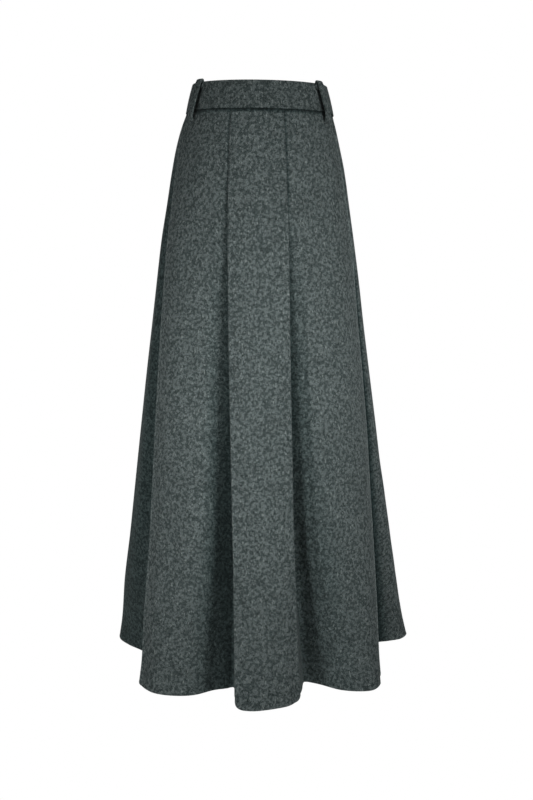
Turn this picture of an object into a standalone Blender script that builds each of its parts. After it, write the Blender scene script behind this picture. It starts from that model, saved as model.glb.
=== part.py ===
"""Pleated midi skirt in heavy wool flannel, in its worn form: hollow, open at waist and hem.

The front faces -Y and +Z is up. Left and right are those of someone who looks at the front, so
+X is to the right. The origin is the middle of the waistband. Every level section of the cloth
is an oval that steps in at eight knife pleats, which are stitched shut below the band and stand
open from there to the hem.
"""
from collections import namedtuple
from math import atan2, cos, degrees, hypot, radians, sin

import bmesh
import bpy
from mathutils import Vector

# Driving dimensions, in metres
BAND_HEIGHT = 0.046
BAND_WALL = 0.0040
BAND_EDGE = 0.0010
BAND_MEET = 0.0005
BAND_STATIONS = 72
SKIRT_LENGTH = 0.8775
CLOTH = 0.0022
TURNED_UP = 0.0038
HEM_TURN_UP = 0.040
SEAM_GAP = 0.0003
WIDE_SPAN = 0.024
STITCHED_CREASE = 0.0013
SEAM_RISE = 0.0034
SEAM_RISE_FADE = 0.052
LEAN = 0.0150
LEAN_FADE = 0.300
LOOP_WIDTH = 0.012
LOOP_WALL = 0.0030
LOOP_EDGE = 0.0007
ZIP_WIDTH = 0.024
ZIP_WALL = 0.0012
ZIP_GAP = 0.0004
ZIP_BOW = 0.0006
ZIP_TOP_INSET = 0.004
ZIP_BEND_INSET = 0.004
ZIP_BOTTOM = -0.205
ZIP_STEP = 0.045

BAND_TOP = 0.5 * BAND_HEIGHT
BAND_BOTTOM = -0.5 * BAND_HEIGHT
SKIRT_TOP = BAND_BOTTOM - SEAM_GAP
WAIST_RADIUS = 0.108

# Where each belt loop stands at its top and at its foot, in degrees from centre front,
# positive to the right
Loop = namedtuple("Loop", "place high low")
LOOPS = (
    Loop("front_left", -56.0, -59.0),
    Loop("front_right", 56.0, 59.0),
    Loop("back_left", -128.0, -128.0),
    Loop("back_right", 128.0, 128.0),
)

# The waistband's outer oval at its edges, which widens downward with the body
BandEdge = namedtuple("BandEdge", "name z half_width half_depth")
BAND_EDGES = (
    BandEdge("bottom", BAND_BOTTOM, 0.1170, 0.0992),
    BandEdge("top", BAND_TOP, 0.1056, 0.0905),
)

# The skirt's plain oval at each level: the drop below the band seam, its reach to the left,
# right, front and back of the middle, and the wall
Section = namedtuple("Section", "name drop left right front back wall")
SECTIONS = (
    Section("seam", 0.000, 0.1160, 0.1152, 0.0985, 0.0985, CLOTH),
    Section("dart", 0.022, 0.1244, 0.1210, 0.1030, 0.1040, CLOTH),
    Section("belly", 0.052, 0.1330, 0.1276, 0.1095, 0.1125, CLOTH),
    Section("high hip", 0.090, 0.1407, 0.1356, 0.1170, 0.1225, CLOTH),
    Section("hip", 0.140, 0.1492, 0.1430, 0.1265, 0.1340, CLOTH),
    Section("seat", 0.195, 0.1590, 0.1510, 0.1365, 0.1440, CLOTH),
    Section("thigh", 0.260, 0.1683, 0.1598, 0.1482, 0.1540, CLOTH),
    Section("mid thigh", 0.330, 0.1777, 0.1682, 0.1608, 0.1650, CLOTH),
    Section("above knee", 0.410, 0.1882, 0.1787, 0.1752, 0.1780, CLOTH),
    Section("knee", 0.500, 0.1993, 0.1906, 0.1914, 0.1930, CLOTH),
    Section("below knee", 0.590, 0.2105, 0.2016, 0.2076, 0.2085, CLOTH),
    Section("calf", 0.680, 0.2219, 0.2152, 0.2238, 0.2240, CLOTH),
    Section("low calf", 0.765, 0.2351, 0.2295, 0.2391, 0.2390, CLOTH),
    Section("turn up", SKIRT_LENGTH - HEM_TURN_UP, 0.2430, 0.2430, 0.2530, 0.2530, CLOTH),
    Section("hem turn", SKIRT_LENGTH - HEM_TURN_UP + 0.003, 0.2434, 0.2438, 0.2536, 0.2536, TURNED_UP),
    Section("hem", SKIRT_LENGTH, 0.2500, 0.2525, 0.2620, 0.2620, TURNED_UP),
)

# Each pleat, in the order round the skirt from the back: the degrees from centre front of its
# folded edge at the waist, mid length and hem; the degrees from that edge to the bottom of the
# fold, less than zero toward centre front; the share of the oval that edge and bottom reach at
# the hem; and the drop where its stitching ends
Pleat = namedtuple("Pleat", "name waist mid hem fall_waist fall_hem edge bottom release")
PLEATS = (
    Pleat("back centre left", -159.0, -164.5, -166.5, 3.4, 6.5, 0.930, 0.740, 0.120),
    Pleat("back side left", -107.0, -119.0, -129.0, 3.6, 12.0, 0.980, 0.770, 0.060),
    Pleat("front side left", -77.0, -57.5, -48.5, -3.6, -15.0, 1.015, 0.770, 0.060),
    Pleat("front centre left", -22.0, -13.3, -8.3, -3.4, -4.8, 1.025, 0.735, 0.075),
    Pleat("front centre right", 19.0, 16.0, 15.6, 3.4, 8.0, 0.925, 0.700, 0.140),
    Pleat("front side right", 74.0, 62.0, 52.4, 3.6, 12.8, 0.946, 0.758, 0.060),
    Pleat("back side right", 107.0, 119.0, 129.0, -3.6, -12.0, 0.980, 0.770, 0.060),
    Pleat("back centre right", 159.0, 164.5, 166.5, -3.4, -6.5, 0.930, 0.740, 0.120),
)

# How a panel climbs out of a fold: the share of the way across and of the height gained there,
# along most of the length and at the hem
Climb = namedtuple("Climb", "across up hem_across hem_up")
WIDE_CLIMB = (
    Climb(0.13, 0.36, 0.27, 0.23),
    Climb(0.29, 0.72, 0.50, 0.62),
    Climb(0.56, 0.94, 0.76, 0.88),
)
STEEP_CLIMB = (
    Climb(0.06, 0.50, 0.27, 0.23),
    Climb(0.16, 0.86, 0.50, 0.62),
    Climb(0.46, 0.98, 0.76, 0.88),
)
SIDE_CLIMB = (
    Climb(0.14, 0.46, 0.38, 0.14),
    Climb(0.34, 0.84, 0.68, 0.62),
    Climb(0.64, 0.97, 0.86, 0.92),
)

# The shape of the hem reaches up to where the folds are this far open
HEM_SHAPE_FROM = 0.55

# Each panel: how far across it stands highest, from the fold that it climbs out of, the share
# of the oval that it reaches there at the hem, and how it climbs
Panel = namedtuple("Panel", "name crest reach climb", defaults=(None,))
BACK_LEFT = Panel("back left", 0.66, 1.020, STEEP_CLIMB)
FRONT_LEFT = Panel("front left", 0.74, 1.030, WIDE_CLIMB)
FRONT_RIGHT = Panel("front right", 0.66, 1.030, STEEP_CLIMB)
BACK_RIGHT = Panel("back right", 0.66, 1.020, STEEP_CLIMB)
CENTRE_FRONT = Panel("centre front", 0.28, 1.035)
CENTRE_BACK = Panel("centre back", 0.0, 1.020)

# Each side panel's seam: its degrees from centre front at waist, mid length and hem, the share
# of the oval that it reaches at the hem, and how close to it the front of the panel rises
SideSeam = namedtuple("SideSeam", "name waist mid hem reach lateness")
SEAM_LEFT = SideSeam("left", -92.0, -91.0, -96.0, 0.985, 0.0)
SEAM_RIGHT = SideSeam("right", 91.0, 92.0, 97.0, 1.020, 0.80)

# How a panel turns down to its folded edge: the share of the way across, and the share of the
# height gained or lost there
PANEL_TURN = (0.55, 0.35)
CENTRE_FRONT_CLIMB = (0.45, 0.60)
CENTRE_FRONT_FALL = ((0.36, 0.20), (0.74, 0.50))
CENTRE_BACK_FALL = ((0.40, 0.14), (0.76, 0.50))

# A pleat's edge opens slowly at first and the floor of its fold drops early, as these powers of
# the share of its open length, and the middle point of its fall lies this share of the way along
OPENING_POWER = 1.25
FLOOR_POWER = 0.80
FALL_MIDDLE = 0.42

# The inner face keeps its distance behind a tight fold down to this share of a plain mitre
LEAST_MITRE = 0.62
SHARP_EDGE = radians(50.0)

# A belt loop from its turned-in top end to its foot: the distance of its middle line from the
# cloth that carries it, and the height
Bend = namedtuple("Bend", "name offset z")
LOOP_BENDS = (
    Bend("turned end", 0.0021, 0.0130),
    Bend("under the top", 0.0021, 0.0212),
    Bend("over the top", 0.0047, 0.0252),
    Bend("shoulder", 0.0074, 0.0212),
    Bend("face", 0.0078, 0.0010),
    Bend("low face", 0.0078, -0.0190),
    Bend("bend in", 0.0062, -0.0284),
    Bend("foot", 0.0027, -0.0330),
    Bend("foot end", 0.0022, -0.0366),
)

# A control point of a section: its degrees from centre front, its share of the oval's radius,
# and whether a seam runs there
Spot = namedtuple("Spot", "azimuth reach seam", defaults=(False,))
Fold = namedtuple("Fold", "edge fall bottom floor opened")
Beside = namedtuple("Beside", "point along")

WOOL = (0.060, 0.068, 0.066)
WOOL_ROUGHNESS = 0.95
TAPE = (0.030, 0.033, 0.033)
TAPE_ROUGHNESS = 0.80


def cloth_material(name, colour, roughness):
    material = bpy.data.materials.new(name)
    material.use_nodes = True
    shader = material.node_tree.nodes["Principled BSDF"]
    shader.inputs["Base Color"].default_value = (*colour, 1.0)
    shader.inputs["Roughness"].default_value = roughness
    shader.inputs["Metallic"].default_value = 0.0
    return material


def blend(low, high, share):
    return low + (high - low) * share


def seam_rise(azimuth):
    """How far the band seam rises over the level across the front of the waist."""
    share = min(max(2.0 * cos(radians(azimuth)), 0.0), 1.0)
    return SEAM_RISE * share * share * (3.0 - 2.0 * share)


def leaned(point):
    """The waist hangs a little lower on the right, and less so down the hips."""
    x, y, z = point
    fade = min(max(1.0 + z / LEAN_FADE, 0.0), 1.0)
    return x, y, z - LEAN * x * fade


def three_point(waist, mid, hem, drop):
    """A value at one drop, on the parabola through its three given values."""
    share = drop / SKIRT_LENGTH
    at_waist = 2.0 * (share - 0.5) * (share - 1.0)
    at_mid = 4.0 * share * (1.0 - share)
    at_hem = 2.0 * share * (share - 0.5)
    return waist * at_waist + mid * at_mid + hem * at_hem


def fold_at(pleat, drop):
    """Edge, fall and bottom of one pleat at one drop below the band seam."""
    share = max(0.0, (drop - pleat.release) / (SKIRT_LENGTH - pleat.release))
    opened = share ** OPENING_POWER
    edge_azimuth = three_point(pleat.waist, pleat.mid, pleat.hem, drop)
    fall = blend(pleat.fall_waist, pleat.fall_hem, drop / SKIRT_LENGTH)
    edge_reach = blend(1.0, pleat.edge, opened)
    floor = blend(1.0, pleat.bottom, share ** FLOOR_POWER)
    bottom_reach = floor - STITCHED_CREASE / WAIST_RADIUS * (1.0 - opened)
    edge = Spot(edge_azimuth, edge_reach)
    middle = Spot(edge_azimuth + FALL_MIDDLE * fall, 0.5 * (edge_reach + bottom_reach))
    bottom = Spot(edge_azimuth + fall, bottom_reach)
    return Fold(edge, middle, bottom, floor, opened)


def between(start, end, across, up):
    """A spot some share of the way across from one spot to another, and some share up."""
    return Spot(blend(start.azimuth, end.azimuth, across), blend(start.reach, end.reach, up))


def climbed(climb, opened):
    """The shares across and up of one step of a climb, which takes on the hem's shape low down."""
    share = min(max((opened - HEM_SHAPE_FROM) / (1.0 - HEM_SHAPE_FROM), 0.0), 1.0)
    share = share * share * (3.0 - 2.0 * share)
    return blend(climb.across, climb.hem_across, share), blend(climb.up, climb.hem_up, share)


def climbing_panel(panel, start, end):
    """Spots of a panel that climbs out of one fold and ends in the edge of the next."""
    crest_azimuth = blend(start.bottom.azimuth, end.edge.azimuth, panel.crest)
    crest_reach = blend(1.0, panel.reach, start.opened)
    spots = [
        Spot(blend(start.bottom.azimuth, crest_azimuth, across), blend(start.floor, crest_reach, up))
        for across, up in (climbed(climb, start.opened) for climb in panel.climb)
    ]
    crest = Spot(crest_azimuth, crest_reach)
    return spots + [crest, between(crest, end.edge, *PANEL_TURN)]


def side_panel(seam, first, last, drop):
    """Spots of a side panel, which rises from a fold at each end to the side seam."""
    azimuth = three_point(seam.waist, seam.mid, seam.hem, drop)
    reach = blend(1.0, seam.reach, first.opened)
    halves = []
    for fold in (first, last):
        lateness = seam.lateness if abs(fold.edge.azimuth) < 90.0 else 0.0
        foot = Spot(fold.bottom.azimuth, fold.floor)
        half = [
            between(foot, Spot(azimuth, reach), across, up * blend(1.0, up, lateness))
            for across, up in (climbed(climb, fold.opened) for climb in SIDE_CLIMB)
        ]
        halves.append(half)
    return halves[0] + [Spot(azimuth, reach, True)] + halves[1][::-1]


def centre_front_panel(first, last):
    """Spots of the raised panel between the two folded edges at centre front."""
    azimuth = blend(first.edge.azimuth, last.edge.azimuth, CENTRE_FRONT.crest)
    crest = Spot(azimuth, blend(1.0, CENTRE_FRONT.reach, first.opened))
    climb = between(first.edge, crest, *CENTRE_FRONT_CLIMB)
    return [climb, crest] + [between(crest, last.edge, *share) for share in CENTRE_FRONT_FALL]


def centre_back_half(side, fold):
    """Spots from the centre back seam to the first folded edge on one side."""
    middle = Spot(180.0 * side, blend(1.0, CENTRE_BACK.reach, fold.opened), True)
    return [middle] + [between(middle, fold.edge, *share) for share in CENTRE_BACK_FALL]


def spots_at(drop):
    """The control spots of one level, from centre back round the left, front and right."""
    folds = [fold_at(pleat, drop) for pleat in PLEATS]
    cb_left, bs_left, fs_left, cf_left, cf_right, fs_right, bs_right, cb_right = folds
    down = [[fold.edge, fold.fall, fold.bottom] for fold in folds]
    up = [row[::-1] for row in down]
    ring = centre_back_half(-1, cb_left) + down[0]
    ring += climbing_panel(BACK_LEFT, cb_left, bs_left) + down[1]
    ring += side_panel(SEAM_LEFT, bs_left, fs_left, drop) + up[2]
    ring += climbing_panel(FRONT_LEFT, cf_left, fs_left)[::-1] + up[3]
    ring += centre_front_panel(cf_left, cf_right) + down[4]
    ring += climbing_panel(FRONT_RIGHT, cf_right, fs_right) + down[5]
    ring += side_panel(SEAM_RIGHT, fs_right, bs_right, drop) + up[6]
    ring += climbing_panel(BACK_RIGHT, cb_right, bs_right)[::-1] + up[7]
    return ring + centre_back_half(1, cb_right)[::-1]


def on_oval(azimuth, half_width, half_depth, reach=1.0):
    angle = radians(azimuth)
    return half_width * sin(angle) * reach, -half_depth * cos(angle) * reach


def oval_of(section, azimuth):
    """Half width and half depth of a section's plain oval, on the side of one azimuth."""
    half_width = section.left if azimuth < 0.0 else section.right
    return half_width, (section.front if abs(azimuth) < 90.0 else section.back)


def outline_at(section):
    """The outer points of one level, one for each control spot."""
    return [
        on_oval(spot.azimuth, *oval_of(section, spot.azimuth), spot.reach)
        for spot in spots_at(section.drop)
    ]


def wide_spans(points):
    return [hypot(x1 - x0, y1 - y0) > WIDE_SPAN for (x0, y0), (x1, y1) in zip(points, points[1:])]


def half_way(before, here, there, after):
    """The value in the middle of the span from here to there, on a smooth curve."""
    return (9.0 * (here + there) - before - after) / 16.0


def refine(points, wide):
    """Adds the middle point of a smooth curve to each span that is wide at the hem."""
    count = len(points) - 1
    refined = []
    for index in range(count):
        refined.append(points[index])
        if wide[index]:
            before, here = points[(index - 1) % count], points[index]
            there, after = points[index + 1], points[(index + 2) % count]
            refined.append(tuple(half_way(*four) for four in zip(before, here, there, after)))
    return refined + [points[count]]


def inward(points, index, wall):
    """The point of the inner face behind one outer point of a closed outline."""
    count = len(points) - 1
    before, here, after = points[(index - 1) % count], points[index], points[(index + 1) % count]
    first = (here[0] - before[0], here[1] - before[1])
    second = (after[0] - here[0], after[1] - here[1])
    first = (first[0] / hypot(*first), first[1] / hypot(*first))
    second = (second[0] / hypot(*second), second[1] / hypot(*second))
    normal = (-(first[1] + second[1]), first[0] + second[0])
    size = hypot(*normal)
    mitre = wall / max(0.5 * size, LEAST_MITRE)
    return here[0] + normal[0] / size * mitre, here[1] + normal[1] / size * mitre


def walls():
    """Outer and inner points of every level, and the places of the seams along them."""
    spots = spots_at(SKIRT_LENGTH)
    wide = wide_spans(outline_at(SECTIONS[-1]))
    seams = [index + sum(wide[:index]) for index, spot in enumerate(spots) if spot.seam]
    levels = []
    for section in SECTIONS:
        outer = refine(outline_at(section), wide)
        inner = [inward(outer, index, section.wall) for index in range(len(outer))]
        levels.append((section.drop, outer, inner))
    return levels, seams


def trimmed(points, start, end):
    """The points from one seam to the next, drawn back half a gap at both ends."""
    piece = [list(point) for point in points[start:end + 1]]
    for last, next_to_last in ((0, 1), (-1, -2)):
        run = [piece[next_to_last][k] - piece[last][k] for k in (0, 1)]
        for k in (0, 1):
            piece[last][k] += run[k] / hypot(*run) * 0.5 * SEAM_GAP
    return piece


def sweep(name, stations, material):
    """A closed solid through stations, each a loop of points that runs out and back."""
    mesh_builder = bmesh.new()
    loops = [[mesh_builder.verts.new(leaned(point)) for point in station] for station in stations]
    count = len(loops[0])
    for near, far in zip(loops, loops[1:]):
        for index in range(count):
            following = (index + 1) % count
            mesh_builder.faces.new((near[index], near[following], far[following], far[index]))
    for end in (loops[0], loops[-1]):
        for index in range(count // 2 - 1):
            mirror = count - 1 - index
            mesh_builder.faces.new((end[index], end[index + 1], end[mirror - 1], end[mirror]))
    bmesh.ops.recalc_face_normals(mesh_builder, faces=mesh_builder.faces)
    mesh = bpy.data.meshes.new(name)
    mesh_builder.to_mesh(mesh)
    mesh_builder.free()
    mesh.shade_smooth()
    mesh.set_sharp_from_angle(angle=SHARP_EDGE)
    mesh.materials.append(material)
    piece = bpy.data.objects.new(name, mesh)
    bpy.context.collection.objects.link(piece)
    return piece


def skirt_piece(name, levels, start, end, material):
    """One cut piece of the skirt, between two seams."""
    rows = [(drop, trimmed(outer, start, end), trimmed(inner, start, end)) for drop, outer, inner in levels]
    stations = []
    for column in range(end - start + 1):
        outside, inside = [], []
        for drop, outer, inner in rows:
            x, y = outer[column]
            rise = seam_rise(degrees(atan2(x, -y))) * max(1.0 - drop / SEAM_RISE_FADE, 0.0)
            outside.append((x, y, SKIRT_TOP - drop + rise))
            inside.append((*inner[column], SKIRT_TOP - drop + rise))
        stations.append(outside + inside[::-1])
    return sweep(name, stations, material)


def band_oval(z):
    """Half width and half depth of the waistband's outer face."""
    low, high = BAND_EDGES
    share = (z - low.z) / (high.z - low.z)
    return blend(low.half_width, high.half_width, share), blend(low.half_depth, high.half_depth, share)


def skirt_oval(z, azimuth):
    """Half width and half depth of the skirt's plain oval, between its levels."""
    drop = max(SKIRT_TOP - z, 0.0)
    drop += seam_rise(azimuth) * max(1.0 - drop / SEAM_RISE_FADE, 0.0)
    for above, below in zip(SECTIONS, SECTIONS[1:]):
        if drop <= below.drop:
            break
    share = (drop - above.drop) / (below.drop - above.drop)
    return [blend(high, low, share) for high, low in zip(oval_of(above, azimuth), oval_of(below, azimuth))]


def beside_oval(azimuth, half_width, half_depth, offset):
    """A point at an offset out from an oval, and the level direction along the oval there."""
    x, y = on_oval(azimuth, half_width, half_depth)
    out_x, out_y = x / half_width ** 2, y / half_depth ** 2
    size = hypot(out_x, out_y)
    out_x, out_y = out_x / size, out_y / size
    return Beside((x + out_x * offset, y + out_y * offset), (-out_y, out_x))


def waistband(material):
    """One strip round the waist, whose ends meet at centre back."""
    end = 180.0 - degrees(0.5 * BAND_MEET / BAND_EDGES[1].half_width)
    stations = []
    for step in range(BAND_STATIONS + 1):
        azimuth = blend(-end, end, step / BAND_STATIONS)
        bottom = BAND_BOTTOM + seam_rise(azimuth)
        outside = (
            (BAND_TOP, BAND_EDGE),
            (BAND_TOP - BAND_EDGE, 0.0),
            (bottom + BAND_EDGE, 0.0),
            (bottom, BAND_EDGE),
        )
        section = outside + tuple((z, BAND_WALL - depth) for z, depth in outside[::-1])
        stations.append([(*beside_oval(azimuth, *band_oval(z), -depth).point, z) for z, depth in section])
    return sweep("waistband", stations, material)


def loop_line(loop):
    """Middle line of a belt loop: points on a smooth curve through its bends."""
    bends = [LOOP_BENDS[0]] + list(LOOP_BENDS) + [LOOP_BENDS[-1]]
    path = []
    for before, here, there, after in zip(bends, bends[1:], bends[2:], bends[3:]):
        path.append((here.offset, here.z))
        path.append(tuple(half_way(*four) for four in zip(before[1:], here[1:], there[1:], after[1:])))
    path.append((bends[-1].offset, bends[-1].z))
    line = []
    for offset, z in path:
        azimuth = blend(loop.high, loop.low, (path[0][1] - z) / (path[0][1] - path[-1][1]))
        carrier = band_oval(z) if z > BAND_BOTTOM else skirt_oval(z, azimuth)
        spot = beside_oval(azimuth, *carrier, offset)
        line.append(Vector((*spot.point, z)))
    return line


def belt_loop(loop, material):
    """A flat strip that stands off the band, turned in at its top and sewn down at its foot."""
    half_width, half_wall = 0.5 * LOOP_WIDTH, 0.5 * LOOP_WALL
    outside = (
        (-half_width, half_wall - LOOP_EDGE),
        (-half_width + LOOP_EDGE, half_wall),
        (half_width - LOOP_EDGE, half_wall),
        (half_width, half_wall - LOOP_EDGE),
    )
    section = outside + tuple((across, -depth) for across, depth in outside[::-1])
    line = loop_line(loop)
    spot = beside_oval(0.5 * (loop.high + loop.low), *band_oval(0.0), 0.0)
    along = Vector((*spot.along, 0.0))
    stations = []
    for index, point in enumerate(line):
        ahead = line[min(index + 1, len(line) - 1)] - line[max(index - 1, 0)]
        outward = along.cross(ahead).normalized()
        stations.append([tuple(point + along * across + outward * depth) for across, depth in section])
    return sweep("belt_loop_" + loop.place, stations, material)


def back_zip(material):
    """The closed zip: its tape lies flat inside the centre back seam."""
    levels = [(BAND_TOP - ZIP_TOP_INSET, True), (BAND_BOTTOM + BAND_EDGE, True)]
    levels += [(BAND_BOTTOM - ZIP_BEND_INSET, False)]
    levels += [(ZIP_BOTTOM + step * ZIP_STEP, False) for step in (3, 2, 1, 0)]
    stations = []
    for z, on_band in levels:
        half_depth = band_oval(z)[1] if on_band else skirt_oval(z, 180.0)[1]
        wall = BAND_WALL if on_band else CLOTH
        face = half_depth - wall - ZIP_GAP
        edge = face - ZIP_BOW
        front, middle = edge - ZIP_WALL, face - ZIP_WALL
        reach = 0.5 * ZIP_WIDTH
        stations.append([
            (-reach, edge, z), (0.0, face, z), (reach, edge, z),
            (reach, front, z), (0.0, middle, z), (-reach, front, z),
        ])
    return sweep("back_zip", stations, material)


def main():
    for old in list(bpy.data.objects):
        bpy.data.objects.remove(old, do_unlink=True)
    wool = cloth_material("wool flannel", WOOL, WOOL_ROUGHNESS)
    tape = cloth_material("zip tape", TAPE, TAPE_ROUGHNESS)
    levels, seams = walls()
    centre_back, side_left, side_right, end = seams
    skirt_piece("skirt_back_left", levels, centre_back, side_left, wool)
    skirt_piece("skirt_front", levels, side_left, side_right, wool)
    skirt_piece("skirt_back_right", levels, side_right, end, wool)
    waistband(wool)
    for loop in LOOPS:
        belt_loop(loop, wool)
    back_zip(tape)


main()
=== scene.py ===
"""The looks of a pleated midi skirt in grey wool flannel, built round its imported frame."""

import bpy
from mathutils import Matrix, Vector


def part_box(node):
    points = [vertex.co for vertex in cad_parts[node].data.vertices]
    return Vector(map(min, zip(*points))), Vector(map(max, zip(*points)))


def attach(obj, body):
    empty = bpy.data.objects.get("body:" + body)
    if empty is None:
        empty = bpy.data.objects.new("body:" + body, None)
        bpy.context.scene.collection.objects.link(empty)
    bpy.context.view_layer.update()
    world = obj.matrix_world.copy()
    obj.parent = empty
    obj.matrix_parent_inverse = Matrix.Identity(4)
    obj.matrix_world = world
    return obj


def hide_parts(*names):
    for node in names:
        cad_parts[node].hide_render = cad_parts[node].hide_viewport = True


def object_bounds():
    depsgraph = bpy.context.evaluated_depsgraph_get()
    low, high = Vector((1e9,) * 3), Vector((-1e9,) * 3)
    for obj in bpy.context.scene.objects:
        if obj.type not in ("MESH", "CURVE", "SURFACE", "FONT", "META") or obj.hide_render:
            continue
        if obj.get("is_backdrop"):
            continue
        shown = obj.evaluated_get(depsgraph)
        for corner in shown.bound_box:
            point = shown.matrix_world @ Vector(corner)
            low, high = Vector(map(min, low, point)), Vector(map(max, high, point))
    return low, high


bl_info = {
    "name": "Pleated Midi Skirt",
    "version": (1, 0, 0),
    "blender": (4, 5, 0),
    "location": "View3D > Sidebar > Skirt",
    "description": "Builds the cloth, waistband, belt loops, stitching and stage of a pleated midi skirt",
    "category": "Object",
}

from bisect import bisect_right
from collections import namedtuple
from math import atan2, cos, degrees, pi, radians, sin

import bmesh
import bpy
import numpy
from mathutils import Matrix, Vector

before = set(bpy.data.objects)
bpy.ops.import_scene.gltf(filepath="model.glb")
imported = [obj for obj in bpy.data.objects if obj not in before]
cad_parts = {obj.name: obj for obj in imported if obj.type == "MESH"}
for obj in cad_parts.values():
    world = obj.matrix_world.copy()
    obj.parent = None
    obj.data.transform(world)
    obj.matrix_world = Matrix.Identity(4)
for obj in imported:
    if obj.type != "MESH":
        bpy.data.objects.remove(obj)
CAD_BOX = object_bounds()

# Distances smaller than this count as none, and points closer than MERGE become one
TINY = 1e-6
MERGE = 1e-5

# Levels, in metres: the hem's comes from the frame
HEM_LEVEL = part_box("skirt_front")[0][2]
SKIRT_LENGTH = 0.8775
SKIRT_TOP = HEM_LEVEL + SKIRT_LENGTH
BAND_TOP = 0.0230
BAND_BOTTOM = -0.0230

# The band seam rises toward centre front, and that rise fades out down the hips
SEAM_RISE = 0.0034
SEAM_RISE_FADE = 0.052

# The waist leans down to the right, by this share of the distance across, less so down the hips
LEAN = 0.0150
LEAN_FADE = 0.300

# How far the pieces lap at their seams, how far from a seam its dark line has faded, and the drops
# between which the painted shadow under the band fades
SEAM_LAP = 0.0001
SEAM_LINE = 0.0022
UNDER_BAND_SHADOW_DROPS = (0.0003, 0.0026)

# The waistband's outer oval at its edges
BandEdge = namedtuple("BandEdge", "name z half_width half_depth")
BAND_EDGES = (
    BandEdge("bottom", BAND_BOTTOM, 0.1170, 0.0992),
    BandEdge("top", BAND_TOP, 0.1056, 0.0905),
)

# The plain oval of the skirt at each drop below the band seam: its reach to each side
Section = namedtuple("Section", "name drop left right front back")
SECTIONS = (
    Section("seam", 0.000, 0.1160, 0.1152, 0.0985, 0.0985),
    Section("dart", 0.022, 0.1244, 0.1210, 0.1030, 0.1040),
    Section("belly", 0.052, 0.1330, 0.1276, 0.1095, 0.1125),
    Section("high hip", 0.090, 0.1407, 0.1356, 0.1170, 0.1225),
    Section("hip", 0.140, 0.1492, 0.1430, 0.1265, 0.1340),
    Section("seat", 0.195, 0.1590, 0.1510, 0.1365, 0.1440),
    Section("thigh", 0.260, 0.1683, 0.1598, 0.1482, 0.1540),
    Section("mid thigh", 0.330, 0.1777, 0.1682, 0.1608, 0.1650),
    Section("above knee", 0.410, 0.1882, 0.1787, 0.1752, 0.1780),
    Section("knee", 0.500, 0.1993, 0.1906, 0.1914, 0.1930),
    Section("below knee", 0.590, 0.2105, 0.2016, 0.2076, 0.2085),
    Section("calf", 0.680, 0.2219, 0.2152, 0.2238, 0.2240),
    Section("low calf", 0.765, 0.2351, 0.2295, 0.2391, 0.2390),
    Section("turn up", 0.8375, 0.2430, 0.2430, 0.2530, 0.2530),
    Section("hem", SKIRT_LENGTH, 0.2500, 0.2525, 0.2620, 0.2620),
)

# Each pleat in order from centre back round the left: its folded edge at waist, mid length and
# hem in degrees from centre front; the degrees to the bottom of the fold at waist and hem; the
# share of the oval that edge and bottom reach at the hem; and the drop where it opens
Pleat = namedtuple("Pleat", "name waist mid hem fall_waist fall_hem edge bottom release")
PLEATS = (
    Pleat("back centre left", -159.0, -164.5, -166.5, 3.4, 6.5, 0.930, 0.740, 0.120),
    Pleat("back side left", -107.0, -119.0, -129.0, 3.6, 12.0, 0.980, 0.770, 0.060),
    Pleat("front side left", -75.0, -57.5, -48.5, -3.6, -15.0, 1.015, 0.770, 0.030),
    Pleat("front centre left", -22.0, -13.3, -8.3, -3.4, -4.8, 1.025, 0.735, 0.075),
    Pleat("front centre right", 19.0, 16.0, 15.6, 3.4, 8.0, 0.925, 0.700, 0.140),
    Pleat("front side right", 74.0, 69.0, 52.8, 3.6, 12.4, 0.958, 0.758, 0.030),
    Pleat("back side right", 107.0, 119.0, 129.0, -3.6, -12.0, 0.980, 0.770, 0.060),
    Pleat("back centre right", 159.0, 164.5, 166.5, -3.4, -6.5, 0.930, 0.740, 0.120),
)

# How each pleat is pressed: how far its corner is rounded at the hem, how steeply the panel comes
# down to the edge, how dark its stitched line is, how much painted highlight lightens its edge and
# how wide, the share of the cloth's brightness that painted shade leaves at the bottom of the fold at
# mid length and at the hem, and how much painted shade darkens the wide hollow beside the fold at the hem
Press = namedtuple("Press", "corner turn line rim rim_width shade low_shade veil")
PRESSES = (
    Press(0.010, 0.00, 0.45, 0.10, 0.005, 0.30, 0.36, 0.10),
    Press(0.010, 0.00, 0.40, 0.10, 0.005, 0.34, 0.40, 0.10),
    Press(0.006, 0.00, 0.55, 0.55, 0.009, 0.34, 0.34, 0.00),
    Press(0.012, 0.00, 0.10, 0.14, 0.005, 0.12, 0.23, 0.00),
    Press(0.009, 0.55, 0.45, 0.10, 0.005, 0.16, 1.00, 0.28),
    Press(0.012, 0.20, 0.55, 0.95, 0.012, 0.45, 0.50, 0.00),
    Press(0.010, 0.00, 0.40, 0.10, 0.005, 0.34, 0.40, 0.10),
    Press(0.010, 0.00, 0.45, 0.10, 0.005, 0.30, 0.36, 0.10),
)

# The painted shade in the wide hollow beside a fold: its width in degrees, and where across it the shade
# starts to fade
HOLLOW_SHADE_TURN = 27.0
HOLLOW_SHADE_FADE = 0.30

# The pleats that the front's side panels lie behind, and how far past their edges, in shares of
# the way to the seam, the painted shade behind them reaches
SIDE_PLEATS = (PLEATS[2], PLEATS[5])
BEHIND_REACH = 1.5

# Light in the folds, which sets their painted shade: how many neighbours each place is compared with,
# the span over which their shade fades, the number of spans at which it is gone, and how fast the shade
# sets in
NEIGHBOURS = 56
LIGHT_SPAN = 0.10
LIGHT_FADE = 1.5
LIGHT_EASE = 1.5

# The drops between which the folds' painted shade goes from its mid share to its share at the hem, and
# those between which the painted shade behind the side folds sets in
LOW_SHADE = (0.40, 0.75)
SIDE_SHADE = (0.02, 0.13)

# Height of the hem's rounded corners, half the width of a stitched line, and how far above and
# below its release a pleat's line gives way to the painted highlight on its edge
CORNER_HEIGHT = 0.060
LINE_REACH = 0.0016
LINE_END = (0.005, 0.010)

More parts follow.
